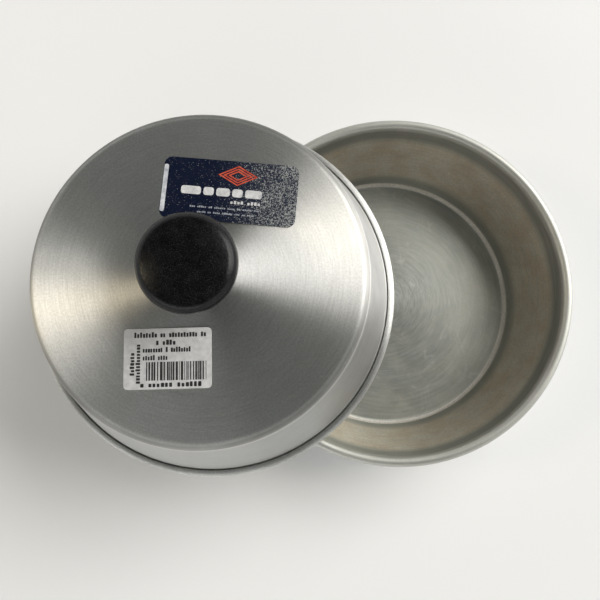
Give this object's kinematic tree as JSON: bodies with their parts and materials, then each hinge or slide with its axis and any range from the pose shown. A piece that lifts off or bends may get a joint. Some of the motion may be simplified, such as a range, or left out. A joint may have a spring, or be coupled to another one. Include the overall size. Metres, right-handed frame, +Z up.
{
  "type": "patty press",
  "caption": "Round spun aluminium burger cover with a rolled rim and a black mushroom knob, set over a matching open dish.",
  "frame": {"origin": "centre of the dish's flat underside", "axes": "+Z up along the dish's axis, -X towards the cover that stands partly over the dish"},
  "size_m": [0.2264, 0.1498, 0.1182],
  "materials": {
    "aluminium": "spun, with fine circular lines",
    "phenolic": "moulded black phenolic, worn semi-gloss",
    "brass": "turned",
    "zinc_steel": "bright zinc plate",
    "navy_sticker": "dark navy film with fine glitter, gloss",
    "white_sticker": "pale grey-white thermal label, satin"
  },
  "bodies": {
    "dish": {"dish_shell": "aluminium"},
    "cover": {"cover_shell": "aluminium", "knob_screw": "zinc_steel", "flat_washer": "zinc_steel", "spring_washer": "zinc_steel", "brand_label": "navy_sticker", "barcode_label": "white_sticker"},
    "knob": {"knob": "phenolic", "knob_insert": "brass"}
  },
  "joints": [
    {"name": "cover_lift", "type": "slide", "parent": "dish", "child": "cover", "axis": [0, 0, 1], "range_m": [0, 0.12]},
    {"name": "knob_turn", "type": "hinge", "parent": "cover", "child": "knob", "pos_m": [-0.0766, 0, 0.0907], "axis": [0, 0, 1], "continuous": true}
  ]
}
